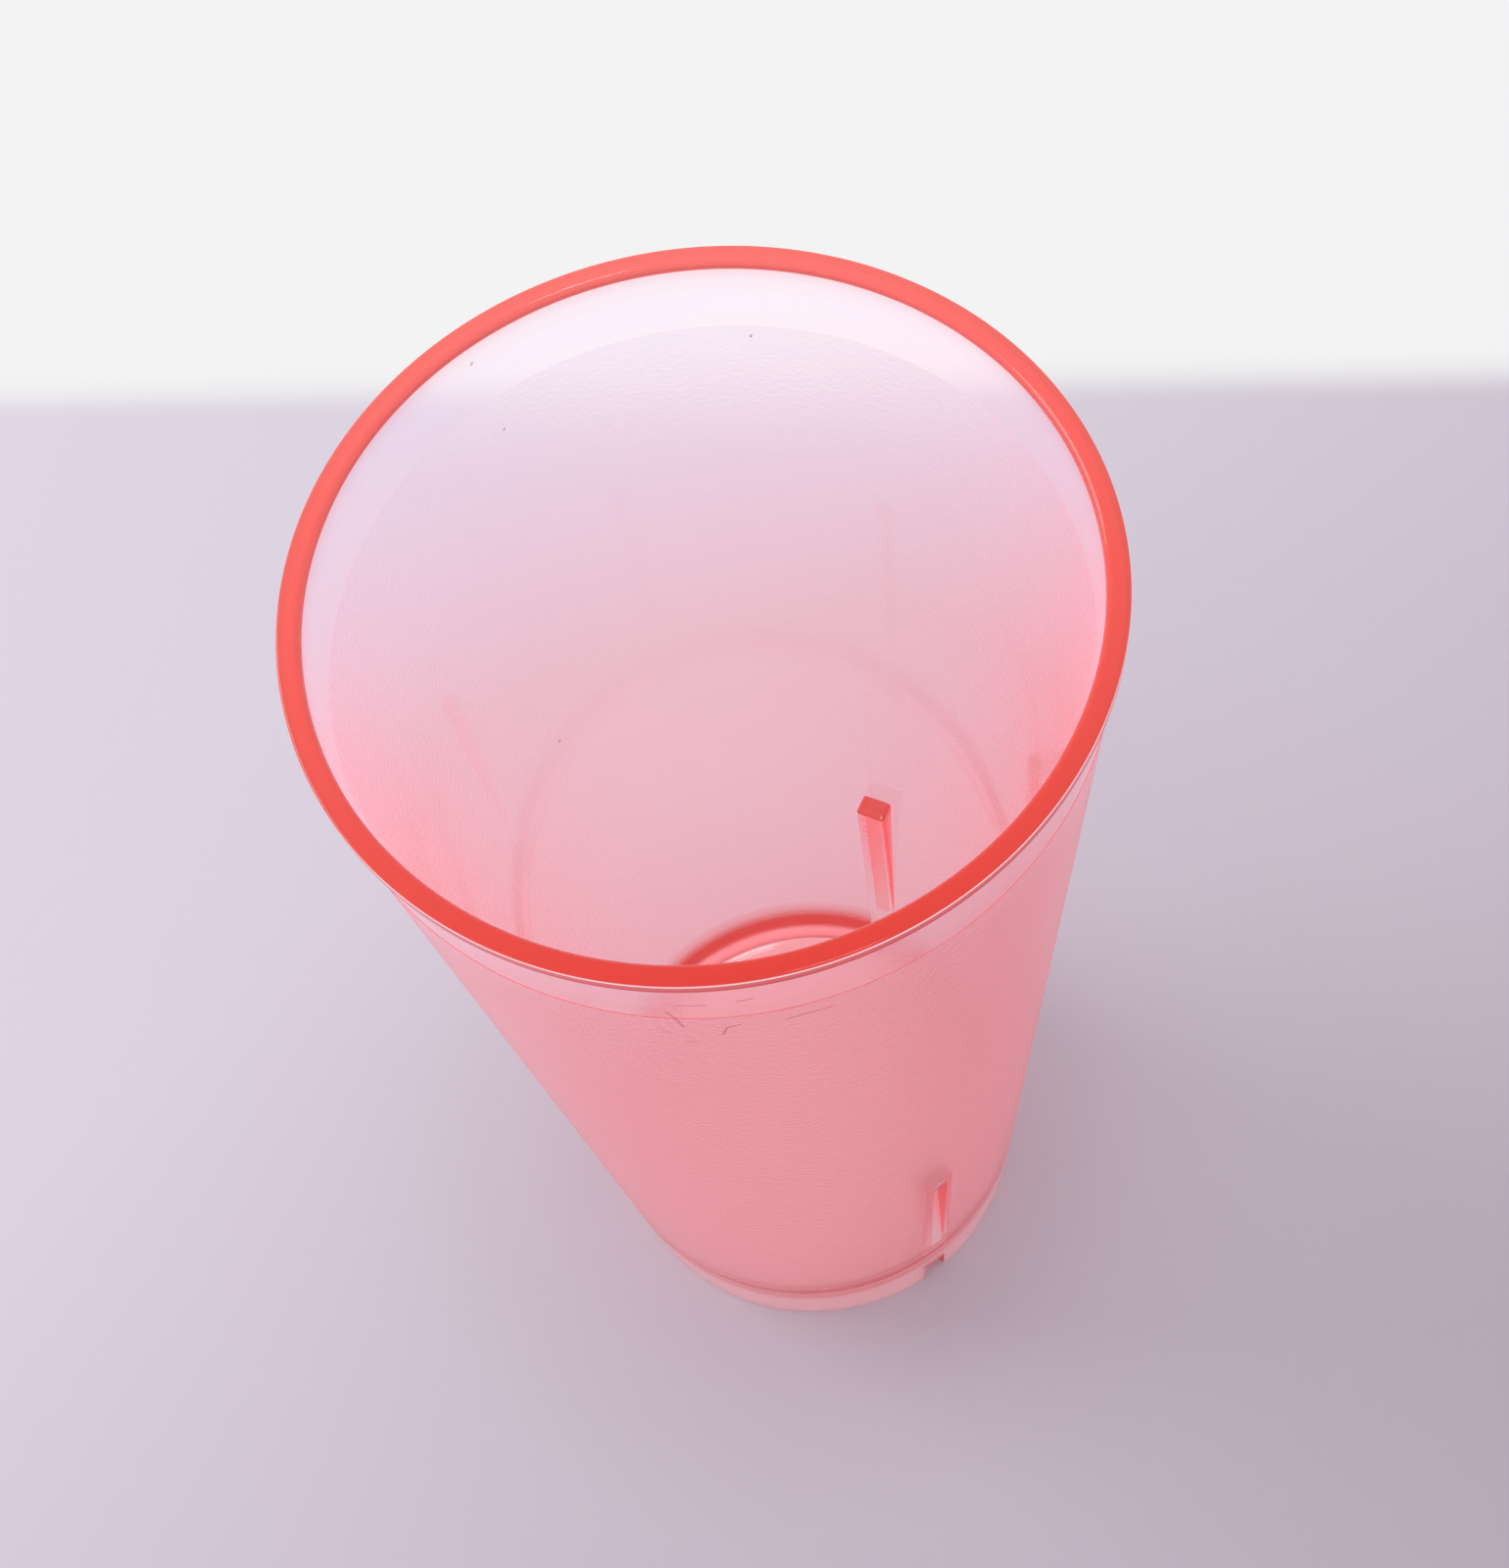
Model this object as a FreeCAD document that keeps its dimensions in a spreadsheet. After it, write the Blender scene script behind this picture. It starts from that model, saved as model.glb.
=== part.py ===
import FreeCAD, Part
import math
import os
import Sketcher

# Moulded plastic tumbler cup, in millimetres, standing on z = 0 with its axis on +Z.
# One solid: a tapered wall with a square rim bead, a raised floor inside a foot skirt, and
# three stacking lugs. Each lug is an upright ledge on the inside of the wall, cored by a
# narrow channel from the outside, with a small notch in the foot below it.
SIZES = [
    ("cup_height", "160", "foot to rim"),
    ("rim_radius", "44", "outside of the rim bead"),
    ("foot_radius", "30", "outside of the foot"),
    ("wall", "2.0", "wall thickness"),
    ("bead_tall", "1.7", "height of the rim bead"),
    ("bead_proud", "0.6", "how far the bead stands out of the wall"),
    ("mouth_round", "0.8", "rounding of the inner edge of the mouth"),
    ("bead_round", "0.3", "rounding of the outer edges of the bead"),
    ("floor_level", "10", "inside floor above the table"),
    ("floor_thick", "2.0", "floor thickness"),
    ("floor_round", "3.6", "rounding between the floor and the wall, inside"),
    ("skirt_thick", "2.0", "foot skirt at its lower edge"),
    ("skirt_draft", "0.3", "how much narrower the recess is at its top"),
    ("foot_round", "0.7", "rounding of the outer edge of the foot"),
    ("lug_count", "3", "stacking lugs around the wall"),
    ("lug_azimuth", "55", "first lug, degrees from +X"),
    ("lug_top", "51.5", "ledge that the next cup's foot rests on"),
    ("lug_width", "4.2", "lug along the wall"),
    ("lug_seat", "0.5", "how far a lug reaches in under the next cup's foot"),
    ("lug_root", "0.5", "how far a lug's back is sunk into the wall at its ledge"),
    ("lug_skin", "2.0", "plastic between the lug's face or ledge and its channel"),
    ("lug_cheek", "1.0", "plastic on each side of the channel"),
    ("lug_edge_round", "0.4", "rounding of the lug's upright edges"),
    ("notch_tall", "6", "foot notch height"),
    ("notch_width", "3.4", "foot notch along the foot"),
]
MATCH = 1e-4

# Slope of the wall, and the radii of a lug's face and of the back of its channel
TAPER = "(Sizes.rim_radius - Sizes.bead_proud - Sizes.foot_radius) / (Sizes.cup_height - Sizes.bead_tall)"
LUG_FACE = "Sizes.foot_radius - Sizes.lug_seat"
CHANNEL_BACK = LUG_FACE + " + Sizes.lug_skin"


def make_sheet(doc):
    """Put every driving size in a sheet, one row each, with its alias."""
    sheet = doc.addObject("Spreadsheet::Sheet", "Sizes")
    for row, (alias, value, meaning) in enumerate(SIZES, start=1):
        sheet.set("A%d" % row, alias)
        sheet.set("B%d" % row, value)
        sheet.set("C%d" % row, meaning)
        sheet.setAlias("B%d" % row, alias)
    doc.recompute()
    return sheet


def inner_radius(height):
    """Radius of the inside of the wall at a height."""
    return "Sizes.foot_radius + %s * %s - Sizes.wall" % (TAPER, height)


def origin_feature(body, role):
    """Return the body's own origin plane or axis with this role."""
    return next(item for item in body.Origin.OriginFeatures if item.Role == role)


def new_sketch(body, name, plane, lug_axis=None):
    """Start a sketch on an origin plane, turned round lug_axis to face the first lug."""
    sketch = body.newObject("Sketcher::SketchObject", name)
    sketch.AttachmentSupport = [(origin_feature(body, plane), "")]
    sketch.MapMode = "FlatFace"
    if lug_axis:
        turned = FreeCAD.Rotation(FreeCAD.Vector(*lug_axis), 1)
        sketch.AttachmentOffset = FreeCAD.Placement(FreeCAD.Vector(), turned)
        sketch.setExpression("AttachmentOffset.Rotation.Angle", "Sizes.lug_azimuth * 1 deg")
    return sketch


def bind(sketch, constraint, expression):
    """Add a dimension and tie it to the sheet."""
    number = sketch.addConstraint(constraint)
    sketch.setExpression("Constraints[%d]" % number, expression)


def outline(sketch, start_radius, corners):
    """Draw a closed outline of straight lines.

    A corner is (distance from the axis, height), each an expression, or None for zero.
    The lines start as a regular polygon and the bound dimensions move them into place.
    """
    count = len(corners)
    up = FreeCAD.Vector(0, 0, 1)
    centre = FreeCAD.Vector(2 * start_radius, 2 * start_radius, 0)
    spoke = FreeCAD.Vector(start_radius, 0, 0)
    start = [centre + FreeCAD.Rotation(up, 360.0 * i / count).multVec(spoke) for i in range(count)]
    for i in range(count):
        sketch.addGeometry(Part.LineSegment(start[i], start[(i + 1) % count]), False)
    for i in range(count):
        sketch.addConstraint(Sketcher.Constraint("Coincident", i, 2, (i + 1) % count, 1))
    for i, (across, height) in enumerate(corners):
        for kind, axis, length, expression in (
            ("DistanceX", -2, start[i].x, across),
            ("DistanceY", -1, start[i].y, height),
        ):
            if expression is None:
                sketch.addConstraint(Sketcher.Constraint("PointOnObject", i, 1, axis))
            else:
                bind(sketch, Sketcher.Constraint(kind, -1, 1, i, 1, length), expression)


def lug_plan(sketch, sheet):
    """Draw a lug seen from above: a block along +X, rounded at the two corners of its face."""
    face = sheet.foot_radius - sheet.lug_seat
    back = sheet.rim_radius
    half = sheet.lug_width / 2
    radius = sheet.lug_edge_round
    up = FreeCAD.Vector(0, 0, 1)

    def line(x1, y1, x2, y2):
        sketch.addGeometry(Part.LineSegment(FreeCAD.Vector(x1, y1, 0), FreeCAD.Vector(x2, y2, 0)), False)

    def corner(y, first, last):
        circle = Part.Circle(FreeCAD.Vector(face + radius, y, 0), up, radius)
        sketch.addGeometry(Part.ArcOfCircle(circle, first, last), False)

    quarter = math.pi / 2
    line(back, -half, face + radius, -half)
    corner(radius - half, 2 * quarter, 3 * quarter)
    line(face, radius - half, face, half - radius)
    corner(half - radius, quarter, 2 * quarter)
    line(face + radius, half, back, half)
    line(back, half, back, -half)
    for first, first_end, second, second_end in ((0, 2, 1, 2), (1, 1, 2, 1), (2, 2, 3, 2), (3, 1, 4, 1)):
        sketch.addConstraint(Sketcher.Constraint("Tangent", first, first_end, second, second_end))
    sketch.addConstraint([
        Sketcher.Constraint("Coincident", 4, 2, 5, 1),
        Sketcher.Constraint("Coincident", 5, 2, 0, 1),
        Sketcher.Constraint("Horizontal", 0),
        Sketcher.Constraint("Horizontal", 4),
        Sketcher.Constraint("Vertical", 5),
        Sketcher.Constraint("Symmetric", 2, 1, 2, 2, -1),
        Sketcher.Constraint("Equal", 1, 3),
    ])
    bind(sketch, Sketcher.Constraint("Radius", 1, radius), "Sizes.lug_edge_round")
    bind(sketch, Sketcher.Constraint("DistanceX", -1, 1, 2, 1, face), LUG_FACE)
    bind(sketch, Sketcher.Constraint("DistanceX", -1, 1, 5, 1, back),
         inner_radius("Sizes.lug_top") + " + Sizes.lug_root")
    bind(sketch, Sketcher.Constraint("DistanceY", 0, 1, 4, 2, 2 * half), "Sizes.lug_width")


def turn(body, kind, name, corners):
    """Turn an outline all the way round the cup's axis, adding or cutting."""
    sketch = new_sketch(body, name + "_outline", "XZ_Plane")
    outline(sketch, body.Document.Sizes.foot_radius, corners)
    feature = body.newObject("PartDesign::" + kind, name)
    feature.Profile = sketch
    feature.ReferenceAxis = (sketch, ["V_Axis"])
    feature.Angle = 360
    body.Document.recompute()
    return feature


def saw(body, name, corners, width):
    """Cut a straight slot through the wall at the first lug, from an upright outline."""
    sketch = new_sketch(body, name + "_outline", "XZ_Plane", lug_axis=(0, 1, 0))
    outline(sketch, body.Document.Sizes.foot_radius, corners)
    feature = body.newObject("PartDesign::Pocket", name)
    feature.Profile = sketch
    feature.SideType = "Symmetric"
    feature.setExpression("Length", width)
    body.Document.recompute()
    return feature


def repeat(body, name, features):
    """Repeat features once for each lug, evenly round the cup's axis."""
    pattern = body.newObject("PartDesign::PolarPattern", name)
    pattern.Originals = features
    pattern.Axis = (origin_feature(body, "Z_Axis"), [""])
    pattern.Angle = 360
    pattern.setExpression("Occurrences", "Sizes.lug_count")
    body.Tip = pattern
    body.Document.recompute()
    return pattern


def round_edges(body, name, radius, *picks):
    """Round full circular edges of the last feature, each picked by its height and place.

    The place counts from the smallest circle at that height: 0 is the inmost, -1 the outmost.
    """
    base = body.Tip
    names = []
    for height, place in picks:
        found = []
        for number, edge in enumerate(base.Shape.Edges, start=1):
            full_circle = isinstance(edge.Curve, Part.Circle) and edge.isClosed()
            if full_circle and abs(edge.Curve.Center.z - height) < MATCH:
                found.append((edge.Curve.Radius, "Edge%d" % number))
        names.append(sorted(found)[place][1])
    feature = body.newObject("PartDesign::Fillet", name)
    feature.Base = (base, names)
    feature.setExpression("Radius", radius)
    body.Document.recompute()


def make_inside(body, sheet):
    """A round blank with the cup's hollow, and the lugs standing in it."""
    turn(body, "Revolution", "blank", [
        (None, None),
        ("Sizes.rim_radius", None),
        ("Sizes.rim_radius", "Sizes.cup_height"),
        (None, "Sizes.cup_height"),
    ])
    turn(body, "Groove", "hollow", [
        (None, "Sizes.floor_level"),
        (inner_radius("Sizes.floor_level"), "Sizes.floor_level"),
        (inner_radius("Sizes.cup_height"), "Sizes.cup_height"),
        (None, "Sizes.cup_height"),
    ])
    round_edges(body, "floor_corner", "Sizes.floor_round", (sheet.floor_level, 0))
    round_edges(body, "mouth_edge", "Sizes.mouth_round", (sheet.cup_height, 0))
    plan = new_sketch(body, "lug_plan", "XY_Plane", lug_axis=(0, 0, 1))
    lug_plan(plan, sheet)
    lug = body.newObject("PartDesign::Pad", "lug")
    lug.Profile = plan
    lug.setExpression("Length", "Sizes.lug_top")
    body.Document.recompute()
    repeat(body, "lugs", [lug])


def make_outside(body, sheet):
    """The tapered outside under the rim bead, and the recess under the floor."""
    under_bead = "Sizes.cup_height - Sizes.bead_tall"
    clear = "Sizes.rim_radius + Sizes.wall"
    turn(body, "Groove", "outside", [
        ("Sizes.foot_radius", None),
        ("Sizes.rim_radius - Sizes.bead_proud", under_bead),
        (clear, under_bead),
        (clear, None),
    ])
    bead_low = (sheet.cup_height - sheet.bead_tall, -1)
    round_edges(body, "bead_edges", "Sizes.bead_round", (sheet.cup_height, -1), bead_low)
    round_edges(body, "foot_edge", "Sizes.foot_round", (0, -1))
    ceiling = "Sizes.floor_level - Sizes.floor_thick"
    turn(body, "Groove", "recess", [
        (None, None),
        ("Sizes.foot_radius - Sizes.skirt_thick", None),
        ("Sizes.foot_radius - Sizes.skirt_thick - Sizes.skirt_draft", ceiling),
        (None, ceiling),
    ])


def make_slots(body):
    """The channel that cores each lug from outside, and the notch in the foot below it."""
    clear = "Sizes.rim_radius + Sizes.wall"
    channel = saw(body, "channel", [
        (CHANNEL_BACK, None),
        (clear, None),
        (clear, "Sizes.lug_top - Sizes.lug_skin"),
        (CHANNEL_BACK, "Sizes.lug_top - Sizes.lug_skin"),
    ], "Sizes.lug_width - 2 * Sizes.lug_cheek")
    in_recess = "Sizes.foot_radius - 2 * Sizes.skirt_thick"
    notch = saw(body, "foot_notch", [
        (in_recess, None),
        (clear, None),
        (clear, "Sizes.notch_tall"),
        (in_recess, "Sizes.notch_tall"),
    ], "Sizes.notch_width")
    repeat(body, "slots", [channel, notch])


def check(doc, body):
    """Stop if an object failed or the cup isn't one sound solid."""
    for item in doc.Objects:
        if "Invalid" in item.State or "Error" in item.State:
            raise RuntimeError("%s failed: %s" % (item.Label, item.State))
    shape = body.Shape
    if shape.isNull() or not shape.isValid() or len(shape.Solids) != 1:
        raise RuntimeError("%s isn't one sound solid" % body.Label)


def main():
    doc = FreeCAD.newDocument("tumbler_cup")
    sheet = make_sheet(doc)
    body = doc.addObject("PartDesign::Body", "tumbler")
    body.Label = "tumbler"
    make_inside(body, sheet)
    make_outside(body, sheet)
    make_slots(body)
    doc.recompute()
    check(doc, body)
    os.makedirs("parts", exist_ok=True)
    body.Shape.exportStep("parts/%s.step" % body.Label)
    print("%s: %.0f mm3" % (body.Label, body.Shape.Volume))


main()
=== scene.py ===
import math
import bmesh
import bpy
from mathutils import Matrix, Vector


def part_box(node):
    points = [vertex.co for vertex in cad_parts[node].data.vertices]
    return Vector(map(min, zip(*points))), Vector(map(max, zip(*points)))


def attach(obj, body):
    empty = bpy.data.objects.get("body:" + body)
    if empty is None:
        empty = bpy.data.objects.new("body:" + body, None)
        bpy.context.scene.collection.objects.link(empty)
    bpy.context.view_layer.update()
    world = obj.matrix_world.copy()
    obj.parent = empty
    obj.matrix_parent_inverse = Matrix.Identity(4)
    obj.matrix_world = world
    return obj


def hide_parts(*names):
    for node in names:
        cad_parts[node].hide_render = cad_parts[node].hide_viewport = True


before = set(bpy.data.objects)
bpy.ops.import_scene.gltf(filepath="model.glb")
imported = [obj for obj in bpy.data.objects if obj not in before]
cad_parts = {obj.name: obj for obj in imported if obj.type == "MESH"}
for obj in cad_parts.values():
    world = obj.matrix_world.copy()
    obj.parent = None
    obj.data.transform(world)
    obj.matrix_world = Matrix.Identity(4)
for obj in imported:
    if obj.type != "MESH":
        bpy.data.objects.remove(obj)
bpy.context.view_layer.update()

# The cup's turned shape: a tapered wall under a square rim bead, and a raised floor inside a
# foot skirt. It is injection moulded in one shot, from a core that leaves the inside polished
# and a cavity that leaves the outside finely frosted below a polished band at the rim.
MM = 0.001
cup_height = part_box("tumbler")[1][2]
rim_radius = 44 * MM
foot_radius = 30 * MM
wall = 2 * MM
bead_tall = 1.7 * MM
bead_proud = 0.6 * MM
bead_round = 0.3 * MM
mouth_round = 0.8 * MM
floor_level = 10 * MM
floor_thick = 2 * MM
floor_round = 3.6 * MM
skirt_thick = 2 * MM
skirt_draft = 0.3 * MM
skirt_round = 0.3 * MM
foot_round = 0.7 * MM
band_edge = 148.4 * MM
frost_relief = 0.04 * MM
around = 288
arc_step = math.radians(9)
sharp_angle = math.radians(28)

taper = (rim_radius - bead_proud - foot_radius) / (cup_height - bead_tall)


def outer_radius(height):
    """Radius of the outside of the wall at a height."""
    return foot_radius + taper * height


def rounded(corners):
    """Points of an outline from (distance from the axis, height, rounding) corners."""
    points = []
    for i, (across, height, rounding) in enumerate(corners):
        here = Vector((across, 0, height))
        if not rounding:
            points.append(here)
            continue
        before, after = (
            (Vector((corners[j][0], 0, corners[j][1])) - here).normalized() for j in (i - 1, i + 1)
        )
        half_angle = before.angle(after) / 2
        centre = here + (before + after).normalized() * rounding / math.sin(half_angle)
        reach = rounding / math.tan(half_angle)
        start, end = (here + side * reach - centre for side in (before, after))
        steps = max(2, math.ceil(start.angle(end) / arc_step))
        points += [centre + start.slerp(end, k / steps) * rounding for k in range(steps + 1)]
    return points


def turned(points, segments):
    """A bmesh of the outline turned round the axis, closed where it meets the axis."""
    bm = bmesh.new()
    rings = []
    for point in points:
        copies = segments if point.x > MM / 100 else 1
        rings.append([
            bm.verts.new(Matrix.Rotation(math.tau * k / segments, 3, "Z") @ point)
            for k in range(copies)
        ])
    for low, high in zip(rings, rings[1:]):
        for k in range(segments):
            following = (k + 1) % segments
            corners = (low[k % len(low)], low[following % len(low)],
                       high[following % len(high)], high[k % len(high)])
            bm.faces.new(dict.fromkeys(corners))
    return bm


def as_object(bm, name):
    """Turn a bmesh into an object of the scene."""
    mesh = bpy.data.meshes.new(name)
    bm.to_mesh(mesh)
    bm.free()
    made = bpy.data.objects.new(name, mesh)
    bpy.context.scene.collection.objects.link(made)
    return made


def rings(heights, inset=0):
    """Plain corners on the wall at heights in millimetres, where its look changes."""
    return [(outer_radius(height * MM) - inset, height * MM, 0) for height in heights]


ceiling = floor_level - floor_thick
recess_radius = foot_radius - skirt_thick
under_bead = cup_height - bead_tall
section = rounded([
    (0, ceiling, 0),
    (recess_radius - skirt_draft, ceiling, skirt_round),
    (recess_radius, 0, skirt_round),
    (foot_radius, 0, foot_round),
    *rings((8.5, 10.5, 12, 14.5)),
    (outer_radius(band_edge) + frost_relief, band_edge, 0),
    (outer_radius(band_edge), band_edge + frost_relief, 0),
    (outer_radius(under_bead), under_bead, 0),
    (rim_radius, under_bead, bead_round),
    (rim_radius, cup_height - 0.45 * MM, 0),
    (rim_radius, cup_height, bead_round),
    (outer_radius(cup_height) - wall, cup_height, mouth_round),
    *rings((159.1, 158.9, 157.5, 155, 18), wall),
    (outer_radius(floor_level) - wall, floor_level, floor_round),
    (0, floor_level, 0),
])
shell = as_object(turned(section, around), "turned_shell")


# The three stacking lugs: upright ledges on the inside of the wall, on which the next cup's
# foot rests. Each is cored from outside by a narrow channel that the cavity leaves as it draws
# away over the foot, and there is a small notch in the foot below it.
lug_count = 3
lug_azimuth = math.radians(55)
lug_top = 51.5 * MM
lug_low = 14 * MM
lug_width = 4.2 * MM
lug_seat = 0.5 * MM
lug_skin = 2 * MM
lug_cheek = 1 * MM
lug_edge_round = 0.4 * MM
notch_tall = 6 * MM
notch_width = 3.4 * MM

lug_face = foot_radius - lug_seat


def lug_plan(back, inset):
    """A lug seen from above: a block along +X, rounded at the two corners of its face."""
    half = lug_width / 2 - inset
    face = lug_face + inset
    corners = [
        (back, half, 0), (face, half, lug_edge_round), (face, -half, lug_edge_round),
        (back, -half, 0), (back, half, 0),
    ]
    return rounded(corners)[:-1]


def slot_plan(inner, outer, width):
    """A straight slot through the wall seen from above."""
    half = width / 2
    return rounded([(inner, half, 0), (inner, -half, 0), (outer, -half, 0), (outer, half, 0)])


def block(bm, levels):
    """Add a solid that runs up through plans of as many points, each with its height."""
    loops = [[bm.verts.new((p.x, p.z, height)) for p in plan] for plan, height in levels]
    bm.faces.new(loops[0])
    bm.faces.new(loops[-1])
    for low, high in zip(loops, loops[1:]):
        for k in range(len(low)):
            following = (k + 1) % len(low)
            bm.faces.new((low[k], low[following], high[following], high[k]))
    bmesh.ops.recalc_face_normals(bm, faces=bm.faces)


rib_bm = bmesh.new()
block(rib_bm, [
    (lug_plan(outer_radius(height) - wall / 2, inset), height) for height, inset in (
        (lug_low, 0), (lug_top - 0.4 * MM, 0), (lug_top - 0.12 * MM, 0.12 * MM), (lug_top, 0.4 * MM),
    )
])
rib = as_object(rib_bm, "lug_rib")
slot_bm = bmesh.new()
channel = slot_plan(lug_face + lug_skin, rim_radius, lug_width - 2 * lug_cheek)
block(slot_bm, [(channel, notch_tall + MM), (channel, lug_top - lug_skin)])
notch = slot_plan(recess_radius - wall, foot_radius + wall, notch_width)
block(slot_bm, [(notch, -wall), (notch, notch_tall)])
slots = as_object(slot_bm, "lug_slots")


def add_node(tree, kind, inputs=None, **settings):
    """Add a node with its settings, and with values or links for its inputs."""
    made = tree.nodes.new(kind)
    for name, value in settings.items():
        setattr(made, name, value)
    for name, value in (inputs or {}).items():
        if isinstance(value, bpy.types.NodeSocket):
            tree.links.new(value, made.inputs[name])
        else:
            made.inputs[name].default_value = value
    return made


tree = bpy.data.node_groups.new("stacking_lugs", "GeometryNodeTree")
for name, kind in (
    ("Geometry", "NodeSocketGeometry"),
    ("Rib", "NodeSocketObject"),
    ("Slots", "NodeSocketObject"),
    ("Count", "NodeSocketInt"),
    ("First Angle", "NodeSocketFloat"),
    ("Material", "NodeSocketMaterial"),
):
    tree.interface.new_socket(name, in_out="INPUT", socket_type=kind)
tree.interface.new_socket("Geometry", in_out="OUTPUT", socket_type="NodeSocketGeometry")
given = add_node(tree, "NodeGroupInput").outputs
places = add_node(tree, "GeometryNodeMeshLine", {"Count": given["Count"], "Offset": (0, 0, 0)})
pitch = add_node(tree, "ShaderNodeMath", {0: math.tau, 1: given["Count"]}, operation="DIVIDE")
index = add_node(tree, "GeometryNodeInputIndex")
angle = add_node(tree, "ShaderNodeMath",
                 {0: index.outputs[0], 1: pitch.outputs[0], 2: given["First Angle"]},
                 operation="MULTIPLY_ADD")
turn = add_node(tree, "ShaderNodeCombineXYZ", {"Z": angle.outputs[0]})
copies = {}
for name in ("Rib", "Slots"):
    tool = add_node(tree, "GeometryNodeObjectInfo", {"Object": given[name]})
    placed = add_node(tree, "GeometryNodeInstanceOnPoints", {
        "Points": places.outputs["Mesh"],
        "Instance": tool.outputs["Geometry"],
        "Rotation": turn.outputs[0],
    })
    real = add_node(tree, "GeometryNodeRealizeInstances", {"Geometry": placed.outputs[0]})
    copies[name] = real.outputs[0]
joined = add_node(tree, "GeometryNodeMeshBoolean", {"Mesh 2": given["Geometry"]},
                  operation="UNION", solver="MANIFOLD")
tree.links.new(copies["Rib"], joined.inputs["Mesh 2"])
cut = add_node(tree, "GeometryNodeMeshBoolean",
               {"Mesh 1": joined.outputs["Mesh"], "Mesh 2": copies["Slots"]},
               operation="DIFFERENCE", solver="MANIFOLD")
whole = add_node(tree, "GeometryNodeRealizeInstances", {"Geometry": cut.outputs["Mesh"]})
finished = add_node(tree, "GeometryNodeSetMaterial",
                    {"Geometry": whole.outputs[0], "Material": given["Material"]})
add_node(tree, "NodeGroupOutput", {"Geometry": finished.outputs[0]})

plastic = bpy.data.materials.new("dyed_san_plastic")
modifier = shell.modifiers.new("lugs", "NODES")
modifier.node_group = tree
for name, value in (
    ("Rib", rib), ("Slots", slots), ("Count", lug_count), ("First Angle", lug_azimuth), ("Material", plastic),
):
    modifier[tree.interface.items_tree[name].identifier] = value
evaluated = shell.evaluated_get(bpy.context.evaluated_depsgraph_get())
cup_mesh = bpy.data.meshes.new_from_object(evaluated)
cup = bpy.data.objects.new("tumbler_body", cup_mesh)
bpy.context.scene.collection.objects.link(cup)
for helper in (shell, rib, slots):
    bpy.data.objects.remove(helper)
cup_mesh.shade_smooth()
cup_mesh.set_sharp_from_angle(angle=sharp_angle)
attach(cup, "root")
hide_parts("tumbler")


# The plastic: clear styrene acrylonitrile, dyed red all through. The thin walls look pale pink.
# The rim's land, the lugs' edges and the floor's corner look red, because the light that leaves
# them has come a long way inside the plastic; that red is painted light, painted into their colour.
# Attributes of the mesh say where, and where the mould leaves the surface frosted or drags it
# cloudy; the cloudy attribute also carries a painted highlight and a painted glow.
light_outside = ((8.5, 0), (10.5, 0.6), (12, 0.6), (14.5, 0))
light_on_bead = ((158.6, 1), (158.8, 0.8), (159.55, 0.8), (159.7, 1))
light_inside = (
    (10, 0.15), (10.6, 0), (11, 0), (11.4, 1), (13.4, 1), (18, 0),
    (155, 0), (157.5, 0.1), (158.9, 0.35), (159.1, 1),
)
light_beside_lug = ((14, 0), (22, 0.5), (52, 0.6))
light_in_channel = ((7, 1), (7.5, 0.4))
light_on_ledge = ((0, 1),)
light_on_lug_face = ((0, 0),)
# Heights of the painted highlight on the rim's outer edge
painted_rim_highlight = ((159.6, 0), (159.7, 1), (159.8, 1), (159.9, 0))
lug_pitch = math.tau / lug_count


def along(steps, height):
    """The amount at a height, from (height in millimetres, amount) steps."""
    height /= MM
    if height <= steps[0][0]:
        return steps[0][1]
    for (low, at_low), (high, at_high) in zip(steps, steps[1:]):
        if height <= high:
            return at_low + (at_high - at_low) * (height - low) / (high - low)
    return steps[-1][1]


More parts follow.
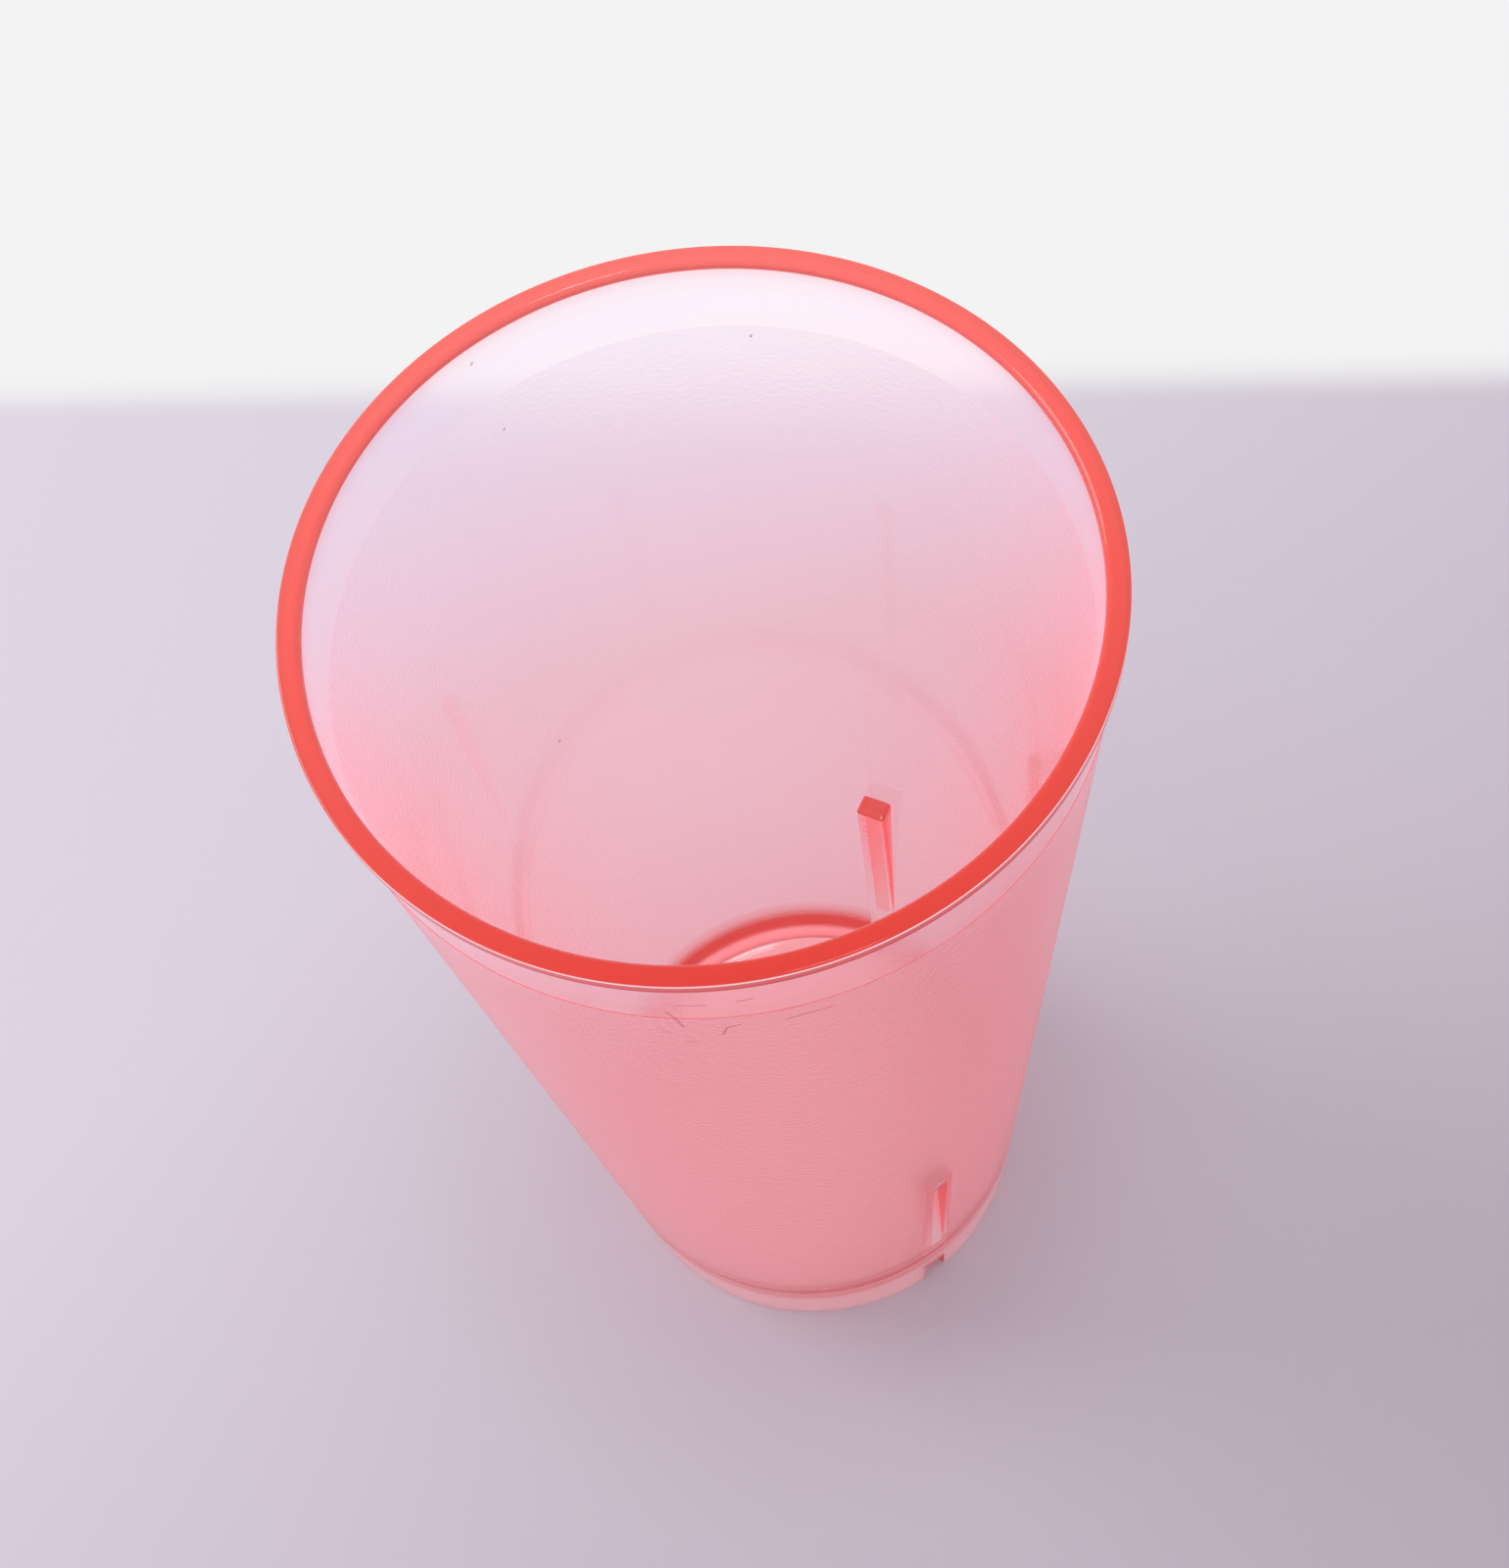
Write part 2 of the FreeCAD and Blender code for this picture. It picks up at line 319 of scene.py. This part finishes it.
long_light, frosting, haze_and_painted_glow = (
    cup_mesh.attributes.new(name, "FLOAT", "CORNER") for name in ("long_light", "frosting", "haze_and_painted_glow")
)
for face in cup_mesh.polygons:
    middle = face.center
    across = Vector((middle.x, middle.y, 0))
    from_lug = abs(math.remainder(math.atan2(middle.y, middle.x) - lug_azimuth, lug_pitch))
    beside = across.length * math.sin(from_lug)
    is_side = abs(face.normal.dot(Vector((-middle.y, middle.x, 0)).normalized())) > 0.6
    is_level = abs(face.normal.z) > 0.3 and beside < lug_width / 2
    is_outside = across.length > outer_radius(middle.z) - wall / 2
    is_underside = across.length < recess_radius + frost_relief and middle.z < floor_level - MM
    is_frosted = is_underside or (is_outside and middle.z < band_edge)
    is_lug_face = beside < lug_width / 2 and across.length < lug_face + MM and middle.z > lug_low
    is_channel_back = (
        beside < lug_width / 2 - lug_cheek and abs(across.length - lug_face - lug_skin) < 0.1 * MM
        and lug_low < middle.z < lug_top
    )
    # A painted highlight: the rim's outer edge is painted pale along its near side only, for the light of the
    # room that it catches
    facing_front = min(max(-middle.y / rim_radius - 0.3, 0) / 0.3, 1) if is_outside else 0
    # Haze under the floor and on the channel's back, which also gets a pale painted glow
    haze_and_glow = 0
    if is_underside:
        haze_and_glow = 1.0
    elif is_channel_back:
        haze_and_glow = 0.5
    if is_level and abs(middle.z - lug_top) < MM:
        steps = light_on_ledge
    elif is_side and beside > (lug_width - lug_cheek) / 2 and middle.z > lug_low:
        steps = light_beside_lug
    elif is_side or is_channel_back or (is_level and abs(middle.z - notch_tall) < 1.5 * MM):
        steps = light_in_channel
    elif is_lug_face:
        steps = light_on_lug_face
    elif is_outside and middle.z > under_bead - frost_relief:
        steps = light_on_bead
    elif is_outside:
        steps = light_outside
    else:
        steps = light_inside
    for corner in face.loop_indices:
        height = cup_mesh.vertices[cup_mesh.loops[corner].vertex_index].co.z
        painted_highlight = facing_front * along(painted_rim_highlight, height)
        long_light.data[corner].value = along(steps, height) * (1 - painted_highlight)
        frosting.data[corner].value = is_frosted
        haze_and_painted_glow.data[corner].value = max(haze_and_glow, painted_highlight)


def linear(colour):
    """Linear colour, with alpha, from an sRGB hex value such as #E8E0F0."""
    values = (int(colour[i:i + 2], 16) / 255 for i in (1, 3, 5))
    return [v / 12.92 if v <= 0.04045 else ((v + 0.055) / 1.055) ** 2.4 for v in values] + [1]


plastic.use_nodes = True
shading = plastic.node_tree
shading.nodes.clear()
place = add_node(shading, "ShaderNodeTexCoord").outputs["Object"]
light = add_node(shading, "ShaderNodeAttribute", attribute_name="long_light").outputs["Fac"]
frost = add_node(shading, "ShaderNodeAttribute", attribute_name="frosting").outputs["Fac"]
haze_and_glow = add_node(shading, "ShaderNodeAttribute", attribute_name="haze_and_painted_glow").outputs["Fac"]

# The land is painted a little paler at the back, a painted light for the daylight that comes
# through it, and darker along the very edges, a painted shade where the eye looks along the surface
depth = add_node(shading, "ShaderNodeSeparateXYZ", {0: place}).outputs["Y"]
to_back = add_node(shading, "ShaderNodeMapRange",
                   {"Value": depth, "From Min": -rim_radius, "From Max": rim_radius})
land_painted_backlight = add_node(shading, "ShaderNodeMix", {
    0: to_back.outputs[0],
    6: linear("#E02408"),
    7: linear("#FF7068"),
}, data_type="RGBA")
facing = add_node(shading, "ShaderNodeLayerWeight", {"Blend": 0.5}).outputs["Facing"]
grazing = add_node(shading, "ShaderNodeMapRange", {"Value": facing, "From Min": 0.7, "From Max": 1.0})
edge_colour_painted_shade = add_node(shading, "ShaderNodeMix", {
    0: grazing.outputs[0],
    6: land_painted_backlight.outputs[2],
    7: linear("#8C2028"),
}, data_type="RGBA")
# The painted long light: white where there is none, the shaded red of the land where it is full
colour = add_node(shading, "ShaderNodeMix", {
    0: light,
    6: linear("#FFFFFF"),
    7: edge_colour_painted_shade.outputs[2],
}, data_type="RGBA")

# Scuffs on the band from stacking, and specks in the plastic: thin dark lines between points
# of (angle in degrees, height in millimetres) on the outside or the inside of the wall
line_width = 0.22 * MM
marks = (
    (0, ((-104.6, 152.7), (-100.7, 152.6))),
    (0, ((-96.6, 153.1), (-94.5, 153.4))),
    (0, ((-91.1, 145.2), (-87.7, 145.6), (-84.3, 145.5))),
    (0, ((-99.8, 143.0), (-98.9, 145.2), (-97.1, 145.8))),
    (0, ((-105, 140.8), (-103.9, 140.7))),
    (0, ((-106.3, 150.3), (-105.3, 148), (-104.8, 145.9))),
    (0, ((-107.8, 144.2), (-107.0, 143.6))),
    (wall, ((117.1, 156.8), (117.3, 156.6))),
    (wall, ((115.8, 144.4), (115.9, 144.3))),
    (wall, ((128.6, 86.4), (128.7, 86.1))),
    (wall, ((72.6, 148.2), (72.7, 147.9))),
)
marked = None
for inset, points in marks:
    spots = []
    for degrees, height in points:
        direction = Matrix.Rotation(math.radians(degrees), 3, "Z") @ Vector((1, 0, 0))
        spots.append(direction * (outer_radius(height * MM) - inset) + Vector((0, 0, height * MM)))
    for start, end in zip(spots, spots[1:]):
        from_start = add_node(shading, "ShaderNodeVectorMath", {0: place, 1: start}, operation="SUBTRACT")
        reach = add_node(shading, "ShaderNodeVectorMath",
                         {0: from_start.outputs[0], 1: (end - start).normalized()},
                         operation="DOT_PRODUCT")
        held = add_node(shading, "ShaderNodeClamp",
                        {"Value": reach.outputs["Value"], "Min": 0.0, "Max": (end - start).length})
        nearest = add_node(shading, "ShaderNodeVectorMath",
                           {0: (end - start).normalized(), "Scale": held.outputs[0]}, operation="SCALE")
        gap = add_node(shading, "ShaderNodeVectorMath",
                       {0: from_start.outputs[0], 1: nearest.outputs[0]}, operation="DISTANCE")
        line = add_node(shading, "ShaderNodeMapRange", {
            "Value": gap.outputs["Value"],
            "From Min": line_width,
            "From Max": line_width / 3,
        }).outputs[0]
        if marked:
            line = add_node(shading, "ShaderNodeMath", {0: marked, 1: line}, operation="MAXIMUM").outputs[0]
        marked = line
marked_colour = add_node(shading, "ShaderNodeMix", {
    0: marked,
    6: colour.outputs[2],
    7: linear("#B06070"),
}, data_type="RGBA")

# The frosting is a spark eroded grain of about 0.05 mm, drawn coarser so that it shows
grain_size = 0.6 * MM
grain = add_node(shading, "ShaderNodeTexNoise",
                 {"Vector": place, "Scale": 1 / grain_size, "Detail": 2.0, "Roughness": 0.5})
bump = add_node(shading, "ShaderNodeBump",
                {"Height": grain.outputs[0], "Strength": frost, "Distance": 0.025 * MM})
roughness = add_node(shading, "ShaderNodeMapRange", {"Value": frost, "To Min": 0.07, "To Max": 0.22})
edge_clearness = add_node(shading, "ShaderNodeMapRange",
                          {"Value": light, "From Min": 0.55, "To Min": 1.0, "To Max": 0.12})
# The haze and the painted highlight make the plastic less clear
clear_of_haze_and_glow = add_node(shading, "ShaderNodeMapRange", {"Value": haze_and_glow, "To Min": 1.0, "To Max": 0.2})
clearness = add_node(shading, "ShaderNodeMath", {0: edge_clearness.outputs[0], 1: clear_of_haze_and_glow.outputs[0]},
                     operation="MULTIPLY")

# A painted glow: a little emission for light that the dye scatters, stronger at the back, and
# high at the back a pale painted glow for daylight that the frosting scatters.
up_and_back = add_node(shading, "ShaderNodeVectorMath", {0: place, 1: (0, 0.55, 0.84)},
                       operation="DOT_PRODUCT")
daylight = add_node(shading, "ShaderNodeMapRange",
                    {"Value": up_and_back.outputs["Value"], "From Min": 0.100, "From Max": 0.150})
painted_scatter_glow = add_node(shading, "ShaderNodeMix", {
    0: to_back.outputs[0],
    6: (0.042, 0.016, 0.018, 1),
    7: (0.088, 0.033, 0.037, 1),
}, data_type="RGBA")
painted_wall_glow = add_node(shading, "ShaderNodeMix", {
    0: daylight.outputs[0],
    6: painted_scatter_glow.outputs[2],
    7: (0.060, 0.100, 0.135, 1),
}, data_type="RGBA")
# A red painted glow where the long light is painted
painted_edge_glow = add_node(shading, "ShaderNodeMix", {
    0: light,
    6: painted_wall_glow.outputs[2],
    7: (0.05, 0.0, 0.0, 1),
}, data_type="RGBA")
# A pale painted glow where the plastic is hazy and on the painted highlight
glow = add_node(shading, "ShaderNodeMix", {
    0: haze_and_glow,
    6: painted_edge_glow.outputs[2],
    7: (0.22, 0.16, 0.17, 1),
}, data_type="RGBA")
skin = add_node(shading, "ShaderNodeBsdfPrincipled", {
    "Base Color": marked_colour.outputs[2],
    "Roughness": roughness.outputs[0],
    "IOR": 1.57,
    "Transmission Weight": clearness.outputs[0],
    "Normal": bump.outputs[0],
    "Emission Color": glow.outputs[2],
    "Emission Strength": 1.0,
})
# How fast the dye takes each colour out of the light, with the density per metre
dye = add_node(shading, "ShaderNodeVolumeAbsorption", {"Color": (0.99, 0.2, 0.26, 1), "Density": 100.0})
add_node(shading, "ShaderNodeOutputMaterial", {"Surface": skin.outputs[0], "Volume": dye.outputs[0]})


# The plain floor: pale lavender under the cup, darker towards the front right as a painted shade,
# and white beyond a line level in the picture
floor_size = 3.0
floor_drop = 0.1 * MM
white_line = 0.140
line_softness = 0.006
line_turn = math.radians(-14.1)
floor_bm = bmesh.new()
bmesh.ops.create_grid(floor_bm, x_segments=1, y_segments=1, size=floor_size / 2)
bmesh.ops.translate(floor_bm, verts=floor_bm.verts, vec=(0, 0, -floor_drop))
floor = as_object(floor_bm, "floor")
floor_paint = bpy.data.materials.new("matt_floor")
floor_paint.use_nodes = True
painting = floor_paint.node_tree
painting.nodes.clear()
spot = add_node(painting, "ShaderNodeTexCoord").outputs["Object"]
beyond = add_node(painting, "ShaderNodeVectorMath",
                  {0: spot, 1: (-math.sin(line_turn), math.cos(line_turn), 0)},
                  operation="DOT_PRODUCT")
white = add_node(painting, "ShaderNodeMapRange", {
    "Value": beyond.outputs["Value"],
    "From Min": white_line - line_softness,
    "From Max": white_line + line_softness,
}, interpolation_type="SMOOTHSTEP").outputs[0]
away = add_node(painting, "ShaderNodeVectorMath", {0: spot, 1: (-0.5, 0.85, 0)}, operation="DOT_PRODUCT")
painted_floor_shade = add_node(painting, "ShaderNodeMapRange",
                    {"Value": away.outputs["Value"], "From Min": 0.08, "From Max": -0.12})
lavender = add_node(painting, "ShaderNodeMix",
                    {0: painted_floor_shade.outputs[0], 6: linear("#DDD5E3"), 7: linear("#C2B7C5")}, data_type="RGBA")
floor_colour = add_node(painting, "ShaderNodeMix",
                        {0: white, 6: lavender.outputs[2], 7: linear("#F0F0F0")}, data_type="RGBA")
matt = add_node(painting, "ShaderNodeBsdfDiffuse", {"Color": floor_colour.outputs[2]})
path = add_node(painting, "ShaderNodeLightPath")
seen = path.outputs["Is Camera Ray"]
for kind in ("Is Glossy Ray", "Is Transmission Ray"):
    seen = add_node(painting, "ShaderNodeMath", {0: seen, 1: path.outputs[kind]}, operation="MAXIMUM").outputs[0]
seen_white = add_node(painting, "ShaderNodeMath", {0: seen, 1: white}, operation="MULTIPLY")
backdrop = add_node(painting, "ShaderNodeEmission", {"Color": linear("#F3F3F3"), "Strength": 1.0})
shown = add_node(painting, "ShaderNodeMixShader",
                 {0: seen_white.outputs[0], 1: matt.outputs[0], 2: backdrop.outputs[0]})
add_node(painting, "ShaderNodeOutputMaterial", {"Surface": shown.outputs[0]})
floor.data.materials.append(floor_paint)

# Soft studio light: an even white room, a large lamp high behind on the left, which the rim
# doesn't mirror, and a small lamp overhead for the thin lights on the edges
world = bpy.data.worlds.new("room")
bpy.context.scene.world = world
world.use_nodes = True
sky = world.node_tree
sky.nodes.clear()
path = add_node(sky, "ShaderNodeLightPath")
seen = path.outputs["Is Camera Ray"]
for kind in ("Is Glossy Ray", "Is Transmission Ray"):
    seen = add_node(sky, "ShaderNodeMath", {0: seen, 1: path.outputs[kind]}, operation="MAXIMUM").outputs[0]
level = add_node(sky, "ShaderNodeMapRange", {"Value": seen, "To Min": 0.8, "To Max": 1.0})
room = add_node(sky, "ShaderNodeBackground", {"Color": (1, 1, 1, 1), "Strength": level.outputs[0]})
add_node(sky, "ShaderNodeOutputWorld", {"Surface": room.outputs[0]})
lamps = (
    ("window", 0.5, 2.4, (-0.7, 0.35, 0.6)),
    ("ceiling", 0.1, 0.3, (0.05, 0, 0.95)),
)
for name, width, watts, stand in lamps:
    lamp_data = bpy.data.lights.new(name, "AREA")
    lamp_data.size = width
    lamp_data.energy = watts
    lamp = bpy.data.objects.new(name, lamp_data)
    bpy.context.scene.collection.objects.link(lamp)
    lamp.location = stand
    lamp.rotation_euler = (Vector((0, 0, 0.08)) - lamp.location).to_track_quat("-Z", "Y").to_euler()

# The camera: the photograph's place, direction, tilt and lens, found from the cup's own outline
camera_data = bpy.data.cameras.new("camera")
camera = bpy.data.objects.new("camera", camera_data)
bpy.context.scene.collection.objects.link(camera)
bpy.context.scene.camera = camera
photo_width = 1540
photo_height = 1600
sensor = 36.0
focal_pixels = 2728.8
centre_pixel = (756.65, 795.03)
camera_data.sensor_width = sensor
camera_data.lens = focal_pixels / photo_height * sensor
camera_data.shift_x = (photo_width / 2 - centre_pixel[0]) / photo_height
camera_data.shift_y = (centre_pixel[1] - photo_height / 2) / photo_height
camera_data.clip_start = 0.01
camera_elevation = math.radians(62.27)
camera_turn = math.radians(-0.08)
camera_roll = math.radians(-12.43)
looking = Vector((
    -math.sin(camera_turn) * math.cos(camera_elevation),
    math.cos(camera_turn) * math.cos(camera_elevation),
    -math.sin(camera_elevation),
))
facing_turn = looking.to_track_quat("-Z", "Y").to_matrix().to_4x4()
camera.matrix_world = (
    Matrix.Translation((0, -0.1450, 0.3929)) @ facing_turn @ Matrix.Rotation(camera_roll, 4, "Z")
)

scene = bpy.context.scene
scene.view_settings.view_transform = "Standard"
scene.cycles.max_bounces = 32
scene.cycles.glossy_bounces = 24
scene.cycles.transmission_bounces = 32
scene.cycles.transparent_max_bounces = 16
